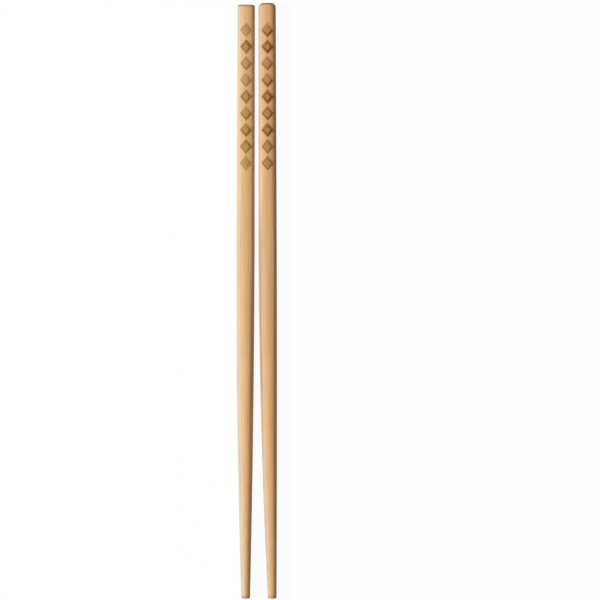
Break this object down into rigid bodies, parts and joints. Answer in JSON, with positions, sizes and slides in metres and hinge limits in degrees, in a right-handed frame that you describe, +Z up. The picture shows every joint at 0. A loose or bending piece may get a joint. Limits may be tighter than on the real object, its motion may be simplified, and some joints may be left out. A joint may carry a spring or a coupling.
{
  "type": "pair of chopsticks",
  "caption": "Pair of bamboo chopsticks lying side by side: softly square handles with a row of burnt diamonds, rounded tapering blades and blunt tips.",
  "frame": {"origin": "bottom centre of the box round the pair, on the surface that the sticks lie on", "axes": "+Y along the sticks towards their thick ends, +Z up, +X towards the right stick; the diamonds face +Z"},
  "size_m": [0.0164, 0.2408, 0.0073],
  "materials": {
    "bamboo": "satin"
  },
  "bodies": {
    "root": {"left_chopstick": "bamboo", "right_chopstick": "bamboo"}
  },
  "joints": []
}
